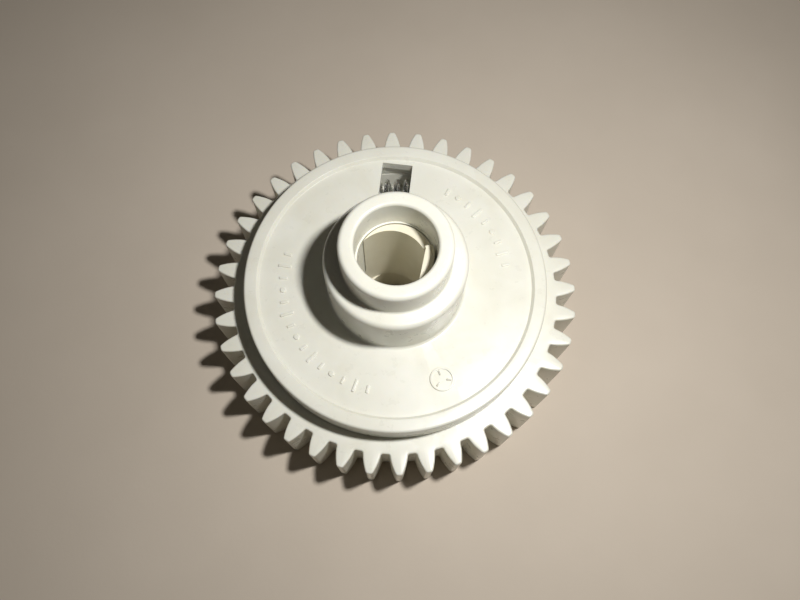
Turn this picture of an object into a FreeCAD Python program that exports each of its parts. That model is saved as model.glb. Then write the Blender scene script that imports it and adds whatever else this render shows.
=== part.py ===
import FreeCAD, Part
import math
import os

# Spring-cushioned drive gear. Millimetres, +Z up.
# Origin: centre of the gear's lower face, which the part stands on.
# A toothed ring turns a few degrees on a stepped hub, against four springs.

V = FreeCAD.Vector
Z_AXIS = V(0, 0, 1)
ORIGIN = V(0, 0, 0)

# Toothed ring
MODULE = 1.0
TEETH = 40
PRESSURE_DEG = 20.0
TOOTH_PHASE_DEG = -1.1
FACE_WIDTH = 8.0
PITCH_R = MODULE * TEETH / 2
TIP_R = PITCH_R + MODULE
ROOT_R = PITCH_R - 1.25 * MODULE
BACKLASH = 0.08
TIP_ROUND = 0.3
FLANK_POINTS = 7

# Hub, seen from above
RIM_R = 16.96
RIM_INNER_R = 15.28
RIM_SLOPE = 0.28
RIM_TOP = FACE_WIDTH + 3.71
PLATE_TOP = FACE_WIDTH + 3.31
PLATE_THICK = 1.2
PLATE_BOTTOM = PLATE_TOP - PLATE_THICK
SKIRT_INNER_R = 15.2
SKIRT_GAP = 0.1
HUB_R = 7.61
HUB_TOP = FACE_WIDTH + 10.43
NOSE_R = 5.85
NOSE_TOP = FACE_WIDTH + 14.4
NOSE_BORE_R = 4.22
LEDGE_Z = FACE_WIDTH + 10.3
HUB_BORE_R = 4.05

# Running fit between ring and hub, and what holds them together
JOURNAL_R = 7.0
RUNNING_CLEARANCE = 0.05
HUB_BOTTOM = 0.3
BOSS_R = 9.2
BOSS_BOTTOM = 2.45
THRUST_R = 8.6
THRUST_Z = PLATE_BOTTOM - 0.2
BOSS_TOP = THRUST_Z - RUNNING_CLEARANCE
GROOVE_R = 6.7
GROOVE_BOTTOM = 0.45
GROOVE_WIDTH = 1.1
CLIP_THICK = 1.0
CLIP_BAND = 1.9
CLIP_GAP_DEG = 34.0
CLIP_EAR_R = 1.15
CLIP_EAR_HOLE_R = 0.5
WASHER_INNER_R = 7.15
WASHER_R = 9.9
WASHER_THICK = 0.85

# Web of the ring
FLOOR_TOP = 4.6
FLOOR_THICK = 1.2
WEB_RIBS = 8
RIB_THICK = 1.1
RIB_INNER_R = 10.9
RIB_BOTTOM = 0.8
RING_INNER_R = 15.2
BLOCK_R = 14.9
BLOCK_TOP = PLATE_BOTTOM - 0.3

# Springs and the walls that hold them
SPRINGS = 4
SPRING_PHASE_DEG = 7.0
SPRING_LENGTH = 8.0
SPRING_R = 2.3
WIRE_D = 0.5
WIRE_SIDES = 12
SPRING_PITCH = 1.15
SPRING_AXIS_R = 12.3
SPRING_Z = PLATE_BOTTOM - 0.5 - SPRING_R
SEAT_X = SPRING_LENGTH / 2 + 0.05
LUG_INNER_R = 9.5
LUG_R = 14.8
LUG_BOTTOM = FLOOR_TOP + 0.3
LUG_BACK_DEG = 36.0
STOP_GAP_DEG = 0.8

# Opening in the plate over the first spring
WINDOW_X = (-3.25, 0.3)
WINDOW_Y = (9.6, 14.65)

# Drive sleeve inside the hub
SLEEVE_R = 3.95
SLEEVE_FLANGE_R = 5.2
SLEEVE_FLANGE_THICK = 0.9
SLEEVE_PRESS_TOP = 9.0
SHAFT_HOLE_R = 3.5
SHOULDER_Z = 5.3
END_HOLE_R = 3.9
END_HOLE_AT = (-0.5, -0.75)
END_FLAT = 2.85
FLAT_DEG = -5.0
SLEEVE_TOP = LEDGE_Z - 0.1
DOG_HEIGHT = 1.4
DOG_DEG = 24.0

# Plain raised marks on the plate
MARK_HEIGHT = 0.15
MARK_SINK = 0.1
MARK_R = 12.6
MARK_LENGTH = 1.5
MARK_WIDTH = 0.32
RIGHT_MARKS_DEG = (16.0, 68.0)
LEFT_MARKS_DEG = (172.0, 268.0)
MARK_PITCH_DEG = 6.5
DIAL_DEG = 301.0
DIAL_AT_R = 12.2
DIAL_R = 1.35


def at(radius, degrees, z=0.0):
    angle = math.radians(degrees)
    return V(radius * math.cos(angle), radius * math.sin(angle), z)


def disc(radius, low, high):
    return Part.makeCylinder(radius, high - low, V(0, 0, low))


def ring(inner, outer, low, high):
    return disc(outer, low, high).cut(disc(inner, low - 1, high + 1))


def turned(corners):
    """Solid of revolution about Z. Each corner is (r, z) or (r, z, rounding radius)."""
    points = [V(c[0], 0, c[1]) for c in corners]
    rounds = [c[2] if len(c) > 2 else 0.0 for c in corners]
    edges = []
    ends = []
    for i, corner in enumerate(points):
        if not rounds[i]:
            ends.append((corner, corner))
            continue
        before = (points[i - 1] - corner).normalize()
        after = (points[(i + 1) % len(points)] - corner).normalize()
        half = before.getAngle(after) / 2
        cut = rounds[i] / math.tan(half)
        start = corner + before * cut
        stop = corner + after * cut
        middle_way = (before + after).normalize()
        middle = corner + middle_way * (rounds[i] / math.sin(half) - rounds[i])
        edges.append(Part.Arc(start, middle, stop).toShape())
        ends.append((start, stop))
    for i in range(len(points)):
        start = ends[i - 1][1]
        stop = ends[i][0]
        if start.distanceToPoint(stop) > 1e-6:
            edges.append(Part.makeLine(start, stop))
    wire = Part.Wire(Part.__sortEdges__(edges))
    return Part.Face(wire).revolve(ORIGIN, Z_AXIS, 360)


def turned_to(shape, degrees):
    copy = shape.copy()
    copy.rotate(ORIGIN, Z_AXIS, degrees)
    return copy


def sector(inner, outer, low, high, start_deg, stop_deg):
    """Part of a ring between two directions."""
    edges = [
        Part.makeLine(at(inner, start_deg, low), at(outer, start_deg, low)),
        arc(outer, start_deg, stop_deg, low),
        Part.makeLine(at(outer, stop_deg, low), at(inner, stop_deg, low)),
        arc(inner, stop_deg, start_deg, low),
    ]
    return Part.Face(Part.Wire(edges)).extrude(V(0, 0, high - low))


def arc(radius, start_deg, stop_deg, z):
    middle = at(radius, (start_deg + stop_deg) / 2, z)
    return Part.Arc(at(radius, start_deg, z), middle, at(radius, stop_deg, z)).toShape()


def involute(radius, base_r):
    """Angle in radians that an involute has turned through at a radius."""
    roll = math.acos(base_r / radius)
    return math.tan(roll) - roll


def gear_blank():
    """Forty involute teeth, extruded over the face width, with rounded tip corners."""
    base_r = PITCH_R * math.cos(math.radians(PRESSURE_DEG))
    pitch_half = math.pi / (2 * TEETH) - BACKLASH / (2 * PITCH_R)
    flank_start = base_r + 0.15
    radii = [
        flank_start + (TIP_R - flank_start) * i / (FLANK_POINTS - 1)
        for i in range(FLANK_POINTS)
    ]
    half_angles = [
        math.degrees(pitch_half + involute(PITCH_R, base_r) - involute(r, base_r))
        for r in radii
    ]
    root_half = half_angles[0] + 0.35
    step = 360 / TEETH
    edges = []
    for tooth in range(TEETH):
        middle = TOOTH_PHASE_DEG + tooth * step
        rising = [at(r, middle - a) for r, a in zip(radii, half_angles)]
        falling = [at(r, middle + a) for r, a in zip(radii, half_angles)][::-1]
        foot_in = at(ROOT_R, middle - root_half)
        foot_out = at(ROOT_R, middle + root_half)
        for points in ([foot_in] + rising, falling + [foot_out]):
            flank = Part.BSplineCurve()
            flank.interpolate(points)
            edges.append(flank.toShape())
        edges.insert(-1, arc(TIP_R, middle - half_angles[-1], middle + half_angles[-1], 0))
        edges.append(arc(ROOT_R, middle + root_half, middle + step - root_half, 0))
    teeth = Part.Face(Part.Wire(edges)).extrude(V(0, 0, FACE_WIDTH))
    envelope = turned([
        (0, 0), (TIP_R, 0, TIP_ROUND), (TIP_R, FACE_WIDTH, TIP_ROUND), (0, FACE_WIDTH),
    ])
    return teeth.common(envelope)


def spring_space(shape, k):
    """Turn a shape made for a spring on +Y to the place of spring k."""
    return turned_to(shape, SPRING_PHASE_DEG + 360 / SPRINGS * k)


def gear_ring():
    body = gear_blank()
    body = body.cut(disc(RING_INNER_R, -1, FACE_WIDTH + 1))
    floor_bottom = FLOOR_TOP - FLOOR_THICK
    body = body.fuse(ring(BOSS_R - 0.5, RING_INNER_R + 0.5, floor_bottom, FLOOR_TOP))
    bore = JOURNAL_R + RUNNING_CLEARANCE
    body = body.fuse(turned([
        (bore, BOSS_BOTTOM, 0.2), (BOSS_R, BOSS_BOTTOM, 0.2),
        (BOSS_R, BOSS_TOP, 0.2), (bore, BOSS_TOP, 0.2),
    ]))
    back_deg = 90 + 360 / SPRINGS - LUG_BACK_DEG - STOP_GAP_DEG
    beyond_seat = Part.makeBox(40, 40, 40, V(-40 - SEAT_X, -20, -10))
    for k in range(SPRINGS):
        block = sector(BOSS_R - 0.5, BLOCK_R, FLOOR_TOP - 0.5, BLOCK_TOP, 90, back_deg)
        foot = sector(
            BLOCK_R - 0.5, RING_INNER_R + 0.5, FLOOR_TOP - 0.5, FACE_WIDTH - 0.4, 90, back_deg
        )
        body = body.fuse(spring_space(block.fuse(foot).common(beyond_seat), k))
    for k in range(WEB_RIBS):
        rib = Part.makeBox(
            RING_INNER_R + 0.5 - RIB_INNER_R, RIB_THICK, floor_bottom + 0.3 - RIB_BOTTOM,
            V(RIB_INNER_R, -RIB_THICK / 2, RIB_BOTTOM),
        )
        body = body.fuse(turned_to(rib, 360 / WEB_RIBS * (k + 0.5)))
    return body.removeSplitter()


def plate_marks():
    """Bars and dots along two arcs, and a small dial with ticks."""
    low = PLATE_TOP - MARK_SINK
    high = PLATE_TOP + MARK_HEIGHT
    marks = []
    for start, stop in (RIGHT_MARKS_DEG, LEFT_MARKS_DEG):
        count = int((stop - start) / MARK_PITCH_DEG) + 1
        for i in range(count):
            direction = start + i * MARK_PITCH_DEG
            if i % 4 == 3:
                mark = Part.makeCylinder(MARK_WIDTH, high - low, V(MARK_R, 0, low))
            else:
                length = MARK_LENGTH * (1.0 if i % 2 else 0.6)
                mark = Part.makeBox(
                    length, MARK_WIDTH, high - low,
                    V(MARK_R - length / 2, -MARK_WIDTH / 2, low),
                )
            marks.append(turned_to(mark, direction))
    centre = at(DIAL_AT_R, DIAL_DEG, low)
    outer = Part.makeCylinder(DIAL_R, high - low, centre)
    marks.append(outer.cut(Part.makeCylinder(DIAL_R - 0.25, high - low, centre)))
    for i in range(3):
        tick = Part.makeBox(0.55, 0.2, high - low, V(0.45, -0.1, low))
        tick.rotate(ORIGIN, Z_AXIS, 120 * i)
        tick.translate(V(centre.x, centre.y, 0))
        marks.append(tick)
    return marks


def hub_disc():
    skirt_bottom = FACE_WIDTH + SKIRT_GAP
    body = turned([
        (NOSE_BORE_R, NOSE_TOP, 0.35), (NOSE_BORE_R, LEDGE_Z),
        (HUB_BORE_R, LEDGE_Z, 0.05), (HUB_BORE_R, HUB_BOTTOM),
        (JOURNAL_R, HUB_BOTTOM, 0.3), (JOURNAL_R, THRUST_Z),
        (THRUST_R, THRUST_Z), (THRUST_R, PLATE_BOTTOM),
        (SKIRT_INNER_R, PLATE_BOTTOM, 0.3), (SKIRT_INNER_R, skirt_bottom, 0.1),
        (RIM_R, skirt_bottom, 0.1), (RIM_R, RIM_TOP, 0.25),
        (RIM_INNER_R + RIM_SLOPE, RIM_TOP, 0.06), (RIM_INNER_R, PLATE_TOP, 0.06),
        (HUB_R, PLATE_TOP, 0.4), (HUB_R, HUB_TOP, 0.6),
        (NOSE_R, HUB_TOP, 0.3), (NOSE_R, NOSE_TOP, 0.5),
    ])
    for k in range(SPRINGS):
        lug = sector(LUG_INNER_R, LUG_R, LUG_BOTTOM, PLATE_BOTTOM + 0.3, 90 - LUG_BACK_DEG, 90)
        beyond_seat = Part.makeBox(40, 40, 40, V(SEAT_X, -20, -10))
        body = body.fuse(spring_space(lug.common(beyond_seat), k))
    window = Part.makeBox(
        WINDOW_X[1] - WINDOW_X[0], WINDOW_Y[1] - WINDOW_Y[0], 2 * PLATE_THICK,
        V(WINDOW_X[0], WINDOW_Y[0], PLATE_BOTTOM - PLATE_THICK / 2),
    )
    body = body.cut(window)
    body = body.cut(ring(GROOVE_R, JOURNAL_R + 1, GROOVE_BOTTOM, GROOVE_BOTTOM + GROOVE_WIDTH))
    body = body.cut(disc(SLEEVE_FLANGE_R, 0, HUB_BOTTOM + SLEEVE_FLANGE_THICK))
    for mark in plate_marks():
        body = body.fuse(mark)
    return body.removeSplitter()


def shaft_hole():
    """Round hole up to a shoulder, where the shaft stops. Above it a wider hole, off
    centre, leaves a half-moon wall with a flat on it for the milled end of the shaft."""
    top = NOSE_TOP + 1
    end_hole = disc(END_HOLE_R, SHOULDER_Z, top)
    end_hole.translate(V(*END_HOLE_AT, 0))
    beyond_flat = Part.makeBox(10, 20, 2 * top, V(END_FLAT, -10, 0))
    end_hole = end_hole.cut(turned_to(beyond_flat, FLAT_DEG))
    return disc(SHAFT_HOLE_R, -1, SHOULDER_Z).fuse(end_hole)


def drive_sleeve():
    flange_top = HUB_BOTTOM + SLEEVE_FLANGE_THICK
    body = turned([
        (0, HUB_BOTTOM), (SLEEVE_FLANGE_R, HUB_BOTTOM, 0.1), (SLEEVE_FLANGE_R, flange_top),
        (HUB_BORE_R, flange_top), (HUB_BORE_R, SLEEVE_PRESS_TOP),
        (SLEEVE_R, SLEEVE_PRESS_TOP + 0.3), (SLEEVE_R, SLEEVE_TOP + DOG_HEIGHT, 0.12),
        (0, SLEEVE_TOP + DOG_HEIGHT),
    ])
    low_half = Part.makeBox(20, 10, DOG_HEIGHT + 1, V(-10, 0, SLEEVE_TOP))
    body = body.cut(turned_to(low_half, DOG_DEG))
    return body.cut(shaft_hole()).removeSplitter()


def cushion_spring():
    """Right-hand coil along X, at the place on +Y."""
    mean_r = SPRING_R - WIRE_D / 2
    height = SPRING_LENGTH - WIRE_D
    helix = Part.makeHelix(SPRING_PITCH, height, mean_r)
    corners = [
        V(mean_r + WIRE_D / 2 * math.cos(a), 0, WIRE_D / 2 * math.sin(a))
        for a in (2 * math.pi * i / WIRE_SIDES for i in range(WIRE_SIDES))
    ]
    section = Part.makePolygon(corners + corners[:1])
    coil = Part.Wire(helix).makePipeShell([section], True, True)
    coil.translate(V(0, 0, -height / 2))
    coil.rotate(ORIGIN, V(0, 1, 0), 90)
    coil.translate(V(0, SPRING_AXIS_R, SPRING_Z))
    return coil


def thrust_washer():
    top = BOSS_BOTTOM - RUNNING_CLEARANCE
    return turned([
        (WASHER_INNER_R, top, 0.1), (WASHER_R, top, 0.1),
        (WASHER_R, top - WASHER_THICK, 0.1), (WASHER_INNER_R, top - WASHER_THICK, 0.1),
    ])


def retaining_ring():
    """Open ring that springs into the groove, with two eared ends for pliers."""
    low = GROOVE_BOTTOM + (GROOVE_WIDTH - CLIP_THICK) / 2
    high = low + CLIP_THICK
    band = ring(GROOVE_R, GROOVE_R + CLIP_BAND, low, high)
    body = band.cut(sector(GROOVE_R - 1, GROOVE_R + CLIP_BAND + 1, low, high,
                           270 - CLIP_GAP_DEG / 2, 270 + CLIP_GAP_DEG / 2))
    ear_at_r = GROOVE_R + CLIP_BAND - 0.1
    for side in (-1, 1):
        direction = 270 + side * (CLIP_GAP_DEG / 2 + 4)
        ear = Part.makeCylinder(CLIP_EAR_R, CLIP_THICK, at(ear_at_r, direction, low))
        hole = Part.makeCylinder(CLIP_EAR_HOLE_R, CLIP_THICK, at(ear_at_r, direction, low))
        body = body.fuse(ear.cut(disc(GROOVE_R, low, high))).cut(hole)
    return body.removeSplitter()


def main():
    os.makedirs("parts", exist_ok=True)
    nodes = {
        "gear_ring": gear_ring(),
        "hub_disc": hub_disc(),
        "drive_sleeve": drive_sleeve(),
        "thrust_washer": thrust_washer(),
        "retaining_ring": retaining_ring(),
    }
    spring = cushion_spring()
    for k in range(SPRINGS):
        nodes[f"cushion_spring_{k + 1}"] = spring_space(spring, k)
    for name, shape in nodes.items():
        shape.exportStep(f"parts/{name}.step")
        solids = len(shape.Solids)
        print(f"{name}: {solids} solid, {shape.Volume:.1f} mm3, valid {shape.isValid()}")


main()
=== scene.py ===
import math

import bmesh
import bpy
from mathutils import Matrix, Vector


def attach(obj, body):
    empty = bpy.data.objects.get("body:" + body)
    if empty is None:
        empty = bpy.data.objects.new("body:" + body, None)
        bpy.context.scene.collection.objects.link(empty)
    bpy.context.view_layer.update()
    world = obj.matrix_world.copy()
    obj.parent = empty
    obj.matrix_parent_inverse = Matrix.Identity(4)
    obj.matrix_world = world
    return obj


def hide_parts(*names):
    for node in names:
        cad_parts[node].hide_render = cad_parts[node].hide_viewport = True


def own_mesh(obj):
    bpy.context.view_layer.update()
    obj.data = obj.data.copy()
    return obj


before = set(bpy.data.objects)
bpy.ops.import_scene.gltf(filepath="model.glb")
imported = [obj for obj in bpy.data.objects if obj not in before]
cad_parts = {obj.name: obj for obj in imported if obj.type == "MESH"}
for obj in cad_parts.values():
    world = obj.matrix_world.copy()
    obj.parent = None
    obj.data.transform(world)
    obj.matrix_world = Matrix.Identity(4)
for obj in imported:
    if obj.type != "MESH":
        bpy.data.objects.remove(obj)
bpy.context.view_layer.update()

# Shapes are drawn in millimetres, in the CAD frame, and scaled to metres as they become pieces.
MM = 0.001

# Toothed ring
TEETH = 40
PITCH_R = 20.0
TIP_R = 21.0
ROOT_R = 18.75
PRESSURE = math.radians(20)
TOOTH_PHASE = math.radians(-1.1)
BACKLASH = 0.08
FACE_WIDTH = 8.0
TIP_ROUND = 0.335
FOOT_ROUND = 0.26
TOP_EDGE = 0.2
RING_INNER_R = 15.2
FLOOR_TOP = 4.6
FLOOR_BOTTOM = 3.4
BOSS_R = 9.2
BOSS_BORE_R = 7.05
BOSS_BOTTOM = 2.45
BOSS_TOP = 9.86
RIM_SEAM_R = 18.2
FLANK_RADII = (19.15, 19.6, 20.05, 20.5)
FOOT_WIDER = 0.004
ROOT_SHARES = (0.33, 0.67)
WEB_RIBS = 8
RIB_INNER_R = 10.9
RIB_OUTER_R = 15.7
RIB_HALF = 0.55
RIB_BOTTOM = 0.8
WALL_BOTTOM = 4.1
WALL_INNER_R = 8.7
WALL_R = 14.9
WALL_TOP = 9.81
FOOT_INNER_R = 14.4
FOOT_OUTER_R = 15.7
FOOT_TOP = 7.6
WALL_FAR_DEG = 143.2

# Hub disc
RIM_R = 16.96
RIM_INNER_R = 15.28
RIM_SLOPE = 0.28
RIM_TOP = 11.71
PLATE_TOP = 11.31
PLATE_BOTTOM = 10.11
SKIRT_INNER_R = 15.2
SKIRT_BOTTOM = 8.1
HUB_R = 7.61
HUB_TOP = 18.43
NOSE_R = 5.85
NOSE_TOP = 22.399
NOSE_BORE_R = 4.22
LEDGE_Z = 18.3
HUB_BORE_R = 4.05
HUB_BOTTOM = 0.3
JOURNAL_R = 7.0
THRUST_R = 8.6
THRUST_Z = 9.91
GROOVE_R = 6.7
GROOVE_LOW = 0.45
GROOVE_HIGH = 1.55
WINDOW_X = (-3.25, 0.3)
WINDOW_Y = (9.6, 14.65)
WINDOW_CORNER = 0.12
LUG_INNER_R = 9.5
LUG_R = 14.8
LUG_BOTTOM = 4.9
LUG_TOP = 10.41
LUG_FAR_DEG = 54.0

# Plain marks on the plate
MARK_HEIGHT = 0.15
MARK_SINK = 0.12
MARK_EDGE = 0.07
MARK_R = 12.6
MARK_ARCS_DEG = ((16.0, 68.0), (172.0, 268.0))
MARK_PITCH_DEG = 6.5
DOT_R = 0.32
BAR_HALVES = (0.45, 0.75)
BAR_HALF_WIDTH = 0.16
DIAL_AT_R = 12.2
DIAL_DEG = 301.0
DIAL_R = 1.35
DIAL_INNER_R = 1.1
TICK_X = (0.45, 1.0)
TICK_HALF = 0.1
TICKS = 3

# Drive sleeve
SLEEVE_R = 3.95
SLEEVE_PRESS_R = 4.04
SLEEVE_PRESS_TOP = 9.0
FLANGE_R = 5.18
FLANGE_TOP = 1.2
FLANGE_GAP = 0.02
SLEEVE_BOTTOM = 0.32
SLEEVE_TAPER_TOP = 9.3
SHAFT_HOLE_R = 3.5
SHOULDER_Z = 5.3
END_HOLE_R = 3.9
END_HOLE_AT = (-0.5, -0.75)
END_FLAT = 2.85
FLAT_DEG = -5.0
SLEEVE_TOP = 18.2
DOG_HEIGHT = 1.4
DOG_DEG = 24.0
CORE_R = 0.5
BEYOND = 10

# Thrust washer
WASHER_INNER_R = 7.15
WASHER_R = 9.9
WASHER_LOW = 1.55
WASHER_HIGH = 2.4
WASHER_EDGE = 0.12

# Cushion springs
SPRINGS = 4
SPRING_PHASE_DEG = 7.0
SPRING_LENGTH = 8.0
SPRING_R = 2.3
WIRE_D = 0.5
SPRING_AXIS_R = 12.3
SPRING_Z = 7.31
SEAT_X = 4.05
SPRING_TURNS = 7.5
WIRE_TURN_OFFSET = 0.1
WIRE_SIDES = 12
WIRE_STEPS_PER_TURN = 40

# Floor, lights and camera, placed in millimetres
FLOOR_HALF = 2000.0
FLOOR_Z = -0.01
KEY_AT = (29, -4, 95)
KEY_AIM = (0, 0, 8)
KEY_SIZE = 8
KEY_WATTS = 0.082
KEY_COLOUR = (1.0, 0.992, 0.97)
FILL_AT = (-160, -120, 220)
FILL_AIM = (0, 0, 0)
FILL_SIZE = 260
FILL_WATTS = 0.014
FILL_COLOUR = (1.0, 0.96, 0.88)
ROOM_COLOUR = (1.0, 0.94, 0.80, 1)
ROOM_STRENGTH = 0.026
CAMERA_AT = (2.921, -27.799, 90.317)
CAMERA_FORWARD = (-0.0262, 0.3091, -0.9507)
CAMERA_RIGHT = (0.9933, 0.1154, 0.0101)
CAMERA_LENS = 33.6


def at(radius, degrees):
    angle = math.radians(degrees)
    return radius * math.cos(angle), radius * math.sin(angle)


def rounded(corners, steps=6):
    """Closed 2-D outline. A corner is (x, y) or (x, y, rounding radius)."""
    points = [Vector(c[:2]) for c in corners]
    outline = []
    for i, corner in enumerate(points):
        radius = corners[i][2] if len(corners[i]) > 2 else 0
        if not radius:
            outline.append(corner)
            continue
        before = (points[i - 1] - corner).normalized()
        after = (points[(i + 1) % len(points)] - corner).normalized()
        half = before.angle(after) / 2
        start = corner + before * (radius / math.tan(half))
        centre = corner + (before + after).normalized() * (radius / math.sin(half))
        arm = start - centre
        sweep = math.pi - 2 * half
        turn = 1 if before.x * after.y - before.y * after.x < 0 else -1
        for k in range(steps + 1):
            a = turn * sweep * k / steps
            outline.append(centre + Matrix.Rotation(a, 2) @ arm)
    return outline


def mesh_object(name, vertices, faces):
    mesh = bpy.data.meshes.new(name)
    mesh.from_pydata(vertices, [], faces)
    work = bmesh.new()
    work.from_mesh(mesh)
    bmesh.ops.recalc_face_normals(work, faces=work.faces)
    work.to_mesh(mesh)
    work.free()
    shape = bpy.data.objects.new(name, mesh)
    bpy.context.scene.collection.objects.link(shape)
    return shape


def closed_rows(name, rows):
    """Rows of equal length, joined to the next row and round on themselves."""
    count = len(rows[0])
    vertices = [p for row in rows for p in row]
    faces = []
    for j in range(len(rows)):
        here = j * count
        there = (j + 1) % len(rows) * count
        for i in range(count):
            k = (i + 1) % count
            faces.append((here + i, here + k, there + k, there + i))
    return mesh_object(name, vertices, faces)


def circle_row(radius, z, angles):
    return [(radius * math.cos(a), radius * math.sin(a), z) for a in angles]


def turned(name, corners, segments=384):
    angles = [2 * math.pi * i / segments for i in range(segments)]
    return closed_rows(name, [circle_row(r, z, angles) for r, z in rounded(corners)])


def offset(outline, distance):
    """The outline moved inwards (it runs anticlockwise)."""
    moved = []
    count = len(outline)
    for i, p in enumerate(outline):
        a = (p - outline[i - 1]).normalized()
        b = (outline[(i + 1) % count] - p).normalized()
        along = (a + b).normalized()
        inward = Vector((-along.y, along.x))
        moved.append(p + inward * distance / max(along.dot(a), 0.5))
    return moved


def prism(name, outline, low, high, top_round=0.0, bottom_round=0.0, steps=4):
    """Outline extruded along Z, with its top and bottom edges rounded."""
    rows = []
    for z, radius, sign in ((low, bottom_round, -1), (high, top_round, 1)):
        levels = range(steps + 1) if radius else [0]
        ring = []
        for k in levels:
            a = math.pi / 2 * k / steps if radius else 0
            flat = offset(outline, radius * (1 - math.cos(a))) if radius else outline
            height = z - sign * radius * (1 - math.sin(a))
            ring.append([(p.x, p.y, height) for p in flat])
        rows += ring[::-1] if sign < 0 else ring
    count = len(outline)
    vertices = [p for row in rows for p in row]
    faces = [tuple(range(count)), tuple(range((len(rows) - 1) * count, len(rows) * count))]
    for j in range(len(rows) - 1):
        for i in range(count):
            k = (i + 1) % count
            faces.append((j * count + i, j * count + k, (j + 1) * count + k, (j + 1) * count + i))
    return mesh_object(name, vertices, faces)


def turned_to(shape, degrees):
    shape.data.transform(Matrix.Rotation(math.radians(degrees), 4, "Z"))
    return shape


def combine(shape, other, operation):
    """Union or difference of two closed shapes, applied to the first."""
    step = shape.modifiers.new("combine", "BOOLEAN")
    step.operation = operation
    step.solver = "MANIFOLD"
    step.object = other
    bpy.context.view_layer.update()
    graph = bpy.context.evaluated_depsgraph_get()
    result = bpy.data.meshes.new_from_object(shape.evaluated_get(graph))
    shape.modifiers.clear()
    old = shape.data
    shape.data = result
    bpy.data.meshes.remove(old)
    bpy.data.objects.remove(other)
    return shape


def finish_piece(shape, name, body, nodes, material, sharp_deg=32):
    """Metres, smooth shading with the flat faces kept flat, body and material; the CAD nodes it
    stands for are hidden.
    """
    shape.data.transform(Matrix.Scale(MM, 4))
    shape.name = name
    shape.data.name = name
    shape.data.materials.clear()
    shape.data.materials.append(material)
    shape.data.polygons.foreach_set("use_smooth", [True] * len(shape.data.polygons))
    shape.data.set_sharp_from_angle(angle=math.radians(sharp_deg))
    weights = shape.modifiers.new("flat_faces", "WEIGHTED_NORMAL")
    weights.keep_sharp = True
    weights.weight = 100
    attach(shape, body)
    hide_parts(*nodes)
    return shape


def involute(radius, base_r):
    roll = math.acos(base_r / radius)
    return math.tan(roll) - roll


def tooth_outline():
    """All the teeth, anticlockwise, with round tips and rounded feet."""
    base_r = PITCH_R * math.cos(PRESSURE)
    pitch_half = math.pi / (2 * TEETH) - BACKLASH / (2 * PITCH_R)
    radii = [*FLANK_RADII, TIP_R]
    halves = [pitch_half + involute(PITCH_R, base_r) - involute(r, base_r) for r in radii]
    foot_half = halves[0] + FOOT_WIDER
    step = 2 * math.pi / TEETH
    corners = []
    for tooth in range(TEETH):
        middle = TOOTH_PHASE + tooth * step
        side = [(ROOT_R, foot_half, FOOT_ROUND)]
        side += [(r, a, 0) for r, a in zip(radii[:-1], halves[:-1])]
        side += [(TIP_R, halves[-1], TIP_ROUND)]
        for r, a, soft in side:
            corners.append((r * math.cos(middle - a), r * math.sin(middle - a), soft))
        for r, a, soft in side[::-1]:
            corners.append((r * math.cos(middle + a), r * math.sin(middle + a), soft))
        for share in ROOT_SHARES:
            a = middle + foot_half + share * (step - 2 * foot_half)
            corners.append((ROOT_R * math.cos(a), ROOT_R * math.sin(a)))
    return rounded(corners, 5)


def spring_side_block(name, inner, outer, low, high, side, far_deg, soft):
    """Wall beside the spring on +Y: a flat seat across X, then round to far_deg."""
    seat = side * SEAT_X
    near_in = math.degrees(math.acos(seat / inner))
    near_out = math.degrees(math.acos(seat / outer))
    out_arc = [near_out + (far_deg - near_out) * k / 12 for k in range(13)]
    in_arc = [far_deg + (near_in - far_deg) * k / 12 for k in range(13)]
    corners = [at(outer, d) for d in out_arc] + [at(inner, d) for d in in_arc]
    for i in (0, 12, 13, 25):
        corners[i] = (*corners[i], soft)
    if side > 0:
        corners = corners[::-1]
    return prism(name, rounded(corners, 4), low, high, soft, 0)


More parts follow.
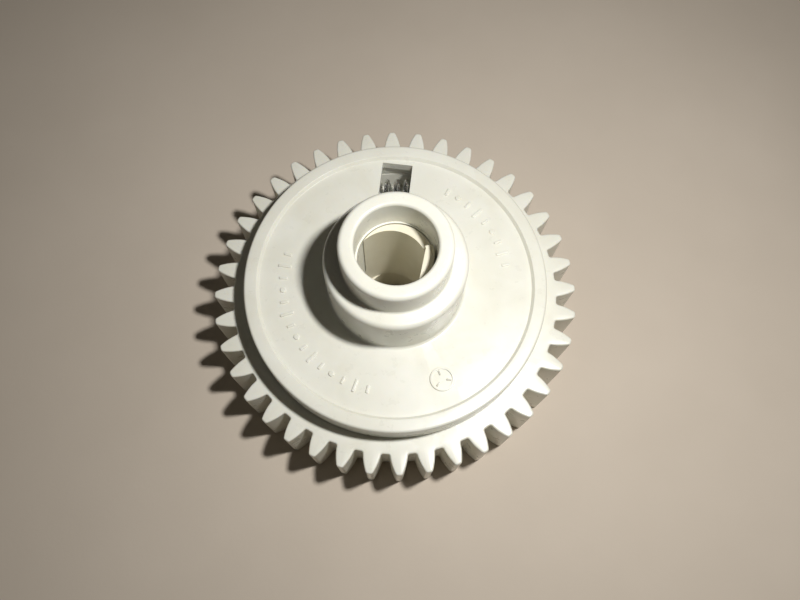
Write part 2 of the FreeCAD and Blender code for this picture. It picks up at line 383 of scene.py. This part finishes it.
def gear_ring(material):
    outline = tooth_outline()
    rows = []
    steps = 5
    for k in range(steps + 1):
        a = math.pi / 2 * (1 - k / steps)
        flat = offset(outline, TOP_EDGE * (1 - math.cos(a)))
        rows.append([(p.x, p.y, TOP_EDGE * (1 - math.sin(a))) for p in flat])
    for k in range(steps + 1):
        a = math.pi / 2 * k / steps
        flat = offset(outline, TOP_EDGE * (1 - math.cos(a)))
        rows.append([(p.x, p.y, FACE_WIDTH - TOP_EDGE * (1 - math.sin(a))) for p in flat])
    angles = [math.atan2(p.y, p.x) for p in offset(outline, TOP_EDGE)]
    inside = rounded([
        (RIM_SEAM_R, FACE_WIDTH), (RING_INNER_R, FACE_WIDTH, 0.2), (RING_INNER_R, FLOOR_TOP, 0.4),
        (BOSS_R, FLOOR_TOP, 0.4), (BOSS_R, BOSS_TOP, 0.3), (BOSS_BORE_R, BOSS_TOP, 0.2),
        (BOSS_BORE_R, BOSS_BOTTOM, 0.2), (BOSS_R, BOSS_BOTTOM, 0.3), (BOSS_R, FLOOR_BOTTOM, 0.3),
        (RING_INNER_R, FLOOR_BOTTOM, 0.4), (RING_INNER_R, 0, 0.25), (RIM_SEAM_R, 0),
    ], 4)
    rows += [circle_row(r, z, angles) for r, z in inside]
    ring = closed_rows("ring", rows)
    wall_and_foot = ((WALL_INNER_R, WALL_R, WALL_TOP), (FOOT_INNER_R, FOOT_OUTER_R, FOOT_TOP))
    for k in range(SPRINGS):
        for inner, outer, high in wall_and_foot:
            wall = spring_side_block(
                "wall", inner, outer, WALL_BOTTOM, high, -1, WALL_FAR_DEG, 0.15
            )
            combine(ring, turned_to(wall, SPRING_PHASE_DEG + 90 * k), "UNION")
    for k in range(WEB_RIBS):
        outline = rounded([
            (RIB_INNER_R, -RIB_HALF, 0.2), (RIB_OUTER_R, -RIB_HALF),
            (RIB_OUTER_R, RIB_HALF), (RIB_INNER_R, RIB_HALF, 0.2),
        ], 4)
        rib = prism("rib", outline, RIB_BOTTOM, FLOOR_BOTTOM + 0.3, 0, 0.15)
        combine(ring, turned_to(rib, 360 / WEB_RIBS * (k + 0.5)), "UNION")
    return finish_piece(
        ring, "toothed_ring", "toothed_ring", ["gear_ring"], material
    )


def raised(name, corners):
    """A plain mark on the plate, with its top edge rounded."""
    low = PLATE_TOP - MARK_SINK
    return prism(name, rounded(corners, 4), low, PLATE_TOP + MARK_HEIGHT, MARK_EDGE, 0)


def circle_corners(x, y, radius, count):
    angles = [2 * math.pi * i / count for i in range(count)]
    return [(x + radius * math.cos(a), y + radius * math.sin(a)) for a in angles]


def bar_corners(left, right, half, soft):
    return [(left, -half, soft), (right, -half, soft), (right, half, soft), (left, half, soft)]


def plate_marks():
    """Plain bars and dots along two arcs, and a small dial with three ticks."""
    marks = []
    for start, stop in MARK_ARCS_DEG:
        for i in range(int((stop - start) / MARK_PITCH_DEG) + 1):
            if i % 4 == 3:
                mark = raised("dot", circle_corners(MARK_R, 0, DOT_R, 24))
            else:
                half = BAR_HALVES[i % 2]
                mark = raised("bar", bar_corners(MARK_R - half, MARK_R + half, BAR_HALF_WIDTH, 0.1))
            marks.append(turned_to(mark, start + MARK_PITCH_DEG * i))
    x, y = at(DIAL_AT_R, DIAL_DEG)
    dial = raised("dial", circle_corners(x, y, DIAL_R, 64))
    hole = rounded(circle_corners(x, y, DIAL_INNER_R, 64))
    inner = prism("inner", hole, PLATE_TOP - 1, PLATE_TOP + 1)
    marks.append(combine(dial, inner, "DIFFERENCE"))
    for i in range(TICKS):
        tick = raised("tick", bar_corners(*TICK_X, TICK_HALF, 0.05))
        turned_to(tick, 360 / TICKS * i)
        tick.data.transform(Matrix.Translation((x, y, 0)))
        marks.append(tick)
    return marks


def hub_disc(material):
    hub = turned("hub", [
        (NOSE_BORE_R, NOSE_TOP, 0.35), (NOSE_BORE_R, LEDGE_Z, 0.04),
        (HUB_BORE_R, LEDGE_Z, 0.05), (HUB_BORE_R, FLANGE_TOP, 0.05),
        (FLANGE_R + FLANGE_GAP, FLANGE_TOP, 0.05), (FLANGE_R + FLANGE_GAP, HUB_BOTTOM, 0.1),
        (JOURNAL_R, HUB_BOTTOM, 0.1), (JOURNAL_R, GROOVE_LOW, 0.03),
        (GROOVE_R, GROOVE_LOW, 0.05), (GROOVE_R, GROOVE_HIGH, 0.05),
        (JOURNAL_R, GROOVE_HIGH, 0.08), (JOURNAL_R, THRUST_Z, 0.1),
        (THRUST_R, THRUST_Z, 0.05), (THRUST_R, PLATE_BOTTOM, 0.05),
        (SKIRT_INNER_R, PLATE_BOTTOM, 0.3), (SKIRT_INNER_R, SKIRT_BOTTOM, 0.1),
        (RIM_R, SKIRT_BOTTOM, 0.12), (RIM_R, RIM_TOP, 0.28),
        (RIM_INNER_R + RIM_SLOPE, RIM_TOP, 0.06), (RIM_INNER_R, PLATE_TOP, 0.06),
        (HUB_R, PLATE_TOP, 0.4), (HUB_R, HUB_TOP, 0.6),
        (NOSE_R, HUB_TOP, 0.3), (NOSE_R, NOSE_TOP, 0.5),
    ])
    for k in range(SPRINGS):
        lug = spring_side_block(
            "lug", LUG_INNER_R, LUG_R, LUG_BOTTOM, LUG_TOP, 1, LUG_FAR_DEG, 0.15
        )
        combine(hub, turned_to(lug, SPRING_PHASE_DEG + 90 * k), "UNION")
    corners = [
        (WINDOW_X[0], WINDOW_Y[0], WINDOW_CORNER), (WINDOW_X[1], WINDOW_Y[0], WINDOW_CORNER),
        (WINDOW_X[1], WINDOW_Y[1], WINDOW_CORNER), (WINDOW_X[0], WINDOW_Y[1], WINDOW_CORNER),
    ]
    window = prism("window", rounded(corners, 3), PLATE_BOTTOM - 0.5, PLATE_TOP + 0.5)
    combine(hub, window, "DIFFERENCE")
    for mark in plate_marks():
        combine(hub, mark, "UNION")
    return finish_piece(hub, "hub_disc_body", "hub", ["hub_disc"], material)


def end_hole():
    """The off-centre hole above the shoulder, with its flat, as an outline."""
    x, y = END_HOLE_AT
    hole = Vector((x, y))
    flat = Vector(at(1, FLAT_DEG))
    count = 192
    outline = []
    for i in range(count):
        p = hole + Vector(at(END_HOLE_R, 360 * i / count))
        beyond = p.dot(flat) - END_FLAT
        outline.append(p - flat * beyond if beyond > 0 else p)
    return outline


def drive_sleeve(material):
    top = SLEEVE_TOP + DOG_HEIGHT
    sleeve = turned("sleeve", [
        (SHAFT_HOLE_R, SLEEVE_BOTTOM, 0.1), (FLANGE_R, SLEEVE_BOTTOM, 0.12),
        (FLANGE_R, FLANGE_TOP, 0.04), (SLEEVE_PRESS_R, FLANGE_TOP, 0.04),
        (SLEEVE_PRESS_R, SLEEVE_PRESS_TOP), (SLEEVE_R, SLEEVE_TAPER_TOP),
        (SLEEVE_R, top, 0.12), (CORE_R, top), (CORE_R, SHOULDER_Z), (SHAFT_HOLE_R, SHOULDER_Z),
    ])
    square = rounded([(-BEYOND, 0), (BEYOND, 0), (BEYOND, BEYOND), (-BEYOND, BEYOND)])
    half = prism("half", square, SLEEVE_TOP, top + 1)
    combine(sleeve, turned_to(half, DOG_DEG), "DIFFERENCE")
    combine(sleeve, prism("end_hole", end_hole(), SHOULDER_Z, top + 1), "DIFFERENCE")
    return finish_piece(sleeve, "shaft_sleeve", "hub", ["drive_sleeve"], material)


def coil_mesh():
    """Compression spring along X at the place on +Y, with closed end turns."""
    mean_r = SPRING_R - WIRE_D / 2
    count = int(SPRING_TURNS * WIRE_STEPS_PER_TURN)
    travel = SPRING_LENGTH - WIRE_D
    active = SPRING_TURNS - 2
    pitch = (travel - 2 * WIRE_D) / active
    sides = WIRE_SIDES
    rows = []
    for i in range(count + 1):
        turn = i / WIRE_STEPS_PER_TURN
        closed = min(turn, 1) + max(turn - SPRING_TURNS + 1, 0)
        x = -travel / 2 + closed * WIRE_D + min(max(turn - 1, 0), active) * pitch
        angle = 2 * math.pi * (turn + WIRE_TURN_OFFSET)
        out = Vector((0, math.cos(angle), math.sin(angle)))
        centre = Vector((x, 0, 0)) + out * mean_r + Vector((0, SPRING_AXIS_R, SPRING_Z))
        row = []
        for k in range(sides):
            b = 2 * math.pi * k / sides
            row.append(centre + WIRE_D / 2 * (out * math.cos(b) + Vector((math.sin(b), 0, 0))))
        rows.append(row)
    vertices = [tuple(p) for row in rows for p in row]
    faces = [tuple(range(sides)), tuple(range(len(vertices) - sides, len(vertices)))]
    for j in range(count):
        for k in range(sides):
            n = (k + 1) % sides
            faces.append((j * sides + k, j * sides + n, (j + 1) * sides + n, (j + 1) * sides + k))
    return mesh_object("coil", vertices, faces)


def cushion_springs(material):
    for k in range(SPRINGS):
        degrees = SPRING_PHASE_DEG + 90 * k
        coil = turned_to(coil_mesh(), degrees)
        node = f"cushion_spring_{k + 1}"
        piece = finish_piece(coil, f"coil_{k + 1}", "toothed_ring", [node], material)
        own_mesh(piece)


def thrust_washer(material):
    washer = turned("washer", [
        (WASHER_INNER_R, WASHER_HIGH, WASHER_EDGE), (WASHER_INNER_R, WASHER_LOW, WASHER_EDGE),
        (WASHER_R, WASHER_LOW, WASHER_EDGE), (WASHER_R, WASHER_HIGH, WASHER_EDGE),
    ], 256)
    return finish_piece(washer, "flat_washer", "hub", ["thrust_washer"], material)


class Nodes:
    """Short names for making shader nodes."""

    def __init__(self, name):
        self.material = bpy.data.materials.new(name)
        self.material.use_nodes = True
        self.tree = self.material.node_tree
        self.shader = self.tree.nodes["Principled BSDF"]
        self.place = self.add("ShaderNodeTexCoord").outputs["Object"]

    def add(self, kind, **values):
        node = self.tree.nodes.new(kind)
        for key, value in values.items():
            setattr(node, key, value)
        return node

    def link(self, a, b):
        self.tree.links.new(a, b)

    def noise(self, scale, detail=3.0, roughness=0.5, distortion=0.0, place=None):
        node = self.add("ShaderNodeTexNoise")
        self.link(place or self.place, node.inputs["Vector"])
        node.inputs["Scale"].default_value = scale
        node.inputs["Detail"].default_value = detail
        node.inputs["Roughness"].default_value = roughness
        node.inputs["Distortion"].default_value = distortion
        return node.outputs["Fac"]

    def ramp(self, source, stops):
        node = self.add("ShaderNodeValToRGB")
        self.link(source, node.inputs["Fac"])
        elements = node.color_ramp.elements
        while len(elements) < len(stops):
            elements.new(0.5)
        for element, (position, colour) in zip(elements, stops):
            element.position = position
            element.color = (*colour, 1)
        return node.outputs["Color"]

    def range(self, source, low, high, out_low, out_high):
        node = self.add("ShaderNodeMapRange")
        self.link(source, node.inputs["Value"])
        for key, value in (
            ("From Min", low), ("From Max", high), ("To Min", out_low), ("To Max", out_high),
        ):
            node.inputs[key].default_value = value
        return node.outputs["Result"]

    def bump(self, height, strength, distance, normal=None):
        node = self.add("ShaderNodeBump")
        self.link(height, node.inputs["Height"])
        node.inputs["Strength"].default_value = strength
        node.inputs["Distance"].default_value = distance
        if normal:
            self.link(normal, node.inputs["Normal"])
        return node.outputs["Normal"]

    def mix(self, factor, below, above):
        """The colour below, covered by a constant colour where the factor says."""
        node = self.add("ShaderNodeMix", data_type="RGBA")
        self.link(factor, node.inputs["Factor"])
        self.link(below, node.inputs[6])
        node.inputs[7].default_value = (*above, 1)
        return node.outputs[2]

    def set(self, **values):
        for key, value in values.items():
            self.shader.inputs[key.replace("_", " ")].default_value = value


def moulded(name, light, base, deep, smooth, rough):
    """Glass-filled nylon: cloudy colour, satin skin, fine grain and faint flow waves."""
    n = Nodes(name)
    cloud = n.noise(150, 4, 0.55, 0.6)
    colour = n.ramp(cloud, [(0.3, deep), (0.52, base), (0.75, light)])
    speck = n.noise(5200, 2, 0.5)
    faint = n.range(speck, 0.62, 0.75, 0, 0.35)
    colour = n.mix(faint, colour, deep)
    n.link(colour, n.shader.inputs["Base Color"])
    gloss = n.noise(700, 5, 0.6)
    n.link(n.range(gloss, 0.3, 0.7, smooth, rough), n.shader.inputs["Roughness"])
    waves = n.noise(210, 2, 0.4, 1.5)
    grain = n.noise(6500, 3, 0.6)
    normal = n.bump(waves, 0.35, 0.00005)
    normal = n.bump(grain, 0.08, 0.00001, normal)
    n.link(normal, n.shader.inputs["Normal"])
    n.set(Subsurface_Weight=0.12, Subsurface_Radius=(1.0, 0.8, 0.5), Subsurface_Scale=0.0006)
    n.set(IOR=1.53)
    return n.material


def steel(name, light, dark, smooth, rough, stretch):
    """Drawn or stamped steel with fine lines and uneven polish."""
    n = Nodes(name)
    mapping = n.add("ShaderNodeMapping")
    mapping.inputs["Scale"].default_value = stretch
    n.link(n.place, mapping.inputs["Vector"])
    lines = n.noise(1500, 4, 0.6, 0.0, mapping.outputs["Vector"])
    n.link(n.ramp(lines, [(0.3, dark), (0.7, light)]), n.shader.inputs["Base Color"])
    patches = n.noise(900, 3)
    n.link(n.range(patches, 0.3, 0.7, smooth, rough), n.shader.inputs["Roughness"])
    n.link(n.bump(lines, 0.3, 0.00001), n.shader.inputs["Normal"])
    n.set(Metallic=1.0)
    return n.material


def floor():
    """Plain pale sheet under the part."""
    n = Nodes("floor_sheet")
    cloud = n.noise(25, 4, 0.6)
    fibre = n.noise(1800, 3, 0.6)
    colour = n.ramp(cloud, [(0.3, (0.600, 0.520, 0.430)), (0.7, (0.660, 0.575, 0.480))])
    n.link(colour, n.shader.inputs["Base Color"])
    n.link(n.range(fibre, 0.3, 0.7, 0.75, 0.95), n.shader.inputs["Roughness"])
    n.link(n.bump(fibre, 0.25, 0.00004), n.shader.inputs["Normal"])
    n.set(Specular_IOR_Level=0.25)
    ends = ((-1, -1), (1, -1), (1, 1), (-1, 1))
    corners = [(FLOOR_HALF * x, FLOOR_HALF * y, FLOOR_Z) for x, y in ends]
    sheet = mesh_object("floor", corners, [(0, 1, 2, 3)])
    sheet.data.transform(Matrix.Scale(MM, 4))
    sheet.data.materials.append(n.material)


def area_light(name, place, target, size, power, colour):
    data = bpy.data.lights.new(name, "AREA")
    data.shape = "DISK"
    data.size = size * MM
    data.energy = power
    data.color = colour
    light = bpy.data.objects.new(name, data)
    bpy.context.scene.collection.objects.link(light)
    light.location = Vector(place) * MM
    aim = (Vector(target) - Vector(place)).to_track_quat("-Z", "Y")
    light.rotation_mode = "QUATERNION"
    light.rotation_quaternion = aim


def lights():
    area_light("key", KEY_AT, KEY_AIM, KEY_SIZE, KEY_WATTS, KEY_COLOUR)
    area_light("fill", FILL_AT, FILL_AIM, FILL_SIZE, FILL_WATTS, FILL_COLOUR)
    world = bpy.data.worlds.new("studio")
    world.use_nodes = True
    background = world.node_tree.nodes["Background"]
    background.inputs["Color"].default_value = ROOM_COLOUR
    background.inputs["Strength"].default_value = ROOM_STRENGTH
    bpy.context.scene.world = world


def camera():
    data = bpy.data.cameras.new("camera")
    data.lens = CAMERA_LENS
    data.sensor_width = 36.0
    data.clip_start = 0.001
    data.clip_end = 20.0
    view = bpy.data.objects.new("camera", data)
    bpy.context.scene.collection.objects.link(view)
    forward = Vector(CAMERA_FORWARD).normalized()
    right = Vector(CAMERA_RIGHT).normalized()
    up = right.cross(forward).normalized()
    turn = Matrix((right, up, -forward)).transposed().to_4x4()
    view.matrix_world = Matrix.Translation(Vector(CAMERA_AT) * MM) @ turn
    bpy.context.scene.camera = view
    bpy.context.scene.view_settings.view_transform = "Standard"


ivory = moulded(
    "ivory_nylon", (0.85, 0.843, 0.765), (0.82, 0.810, 0.722), (0.78, 0.765, 0.665), 0.25, 0.37
)
# The sleeve is the same ivory nylon, given a darker and yellower colour: painted shade for the
# shadow inside the bore it sits in.
sleeve_ivory_painted_shade = moulded(
    "sleeve_nylon", (0.82, 0.78, 0.65), (0.79, 0.745, 0.60), (0.74, 0.69, 0.54), 0.28, 0.40
)
acetal = moulded(
    "washer_acetal", (0.80, 0.80, 0.77), (0.76, 0.76, 0.73), (0.70, 0.70, 0.67), 0.22, 0.34
)
wire_steel = steel("spring_steel", (0.92, 0.92, 0.91), (0.74, 0.74, 0.74), 0.20, 0.30, (1, 1, 1))
clip_steel = steel("clip_steel", (0.16, 0.16, 0.17), (0.07, 0.07, 0.08), 0.30, 0.50, (1, 1, 6))

gear_ring(ivory)
hub_disc(ivory)
drive_sleeve(sleeve_ivory_painted_shade)
thrust_washer(acetal)
cushion_springs(wire_steel)

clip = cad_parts["retaining_ring"]
clip.data.materials.clear()
clip.data.materials.append(clip_steel)

floor()
lights()
camera()
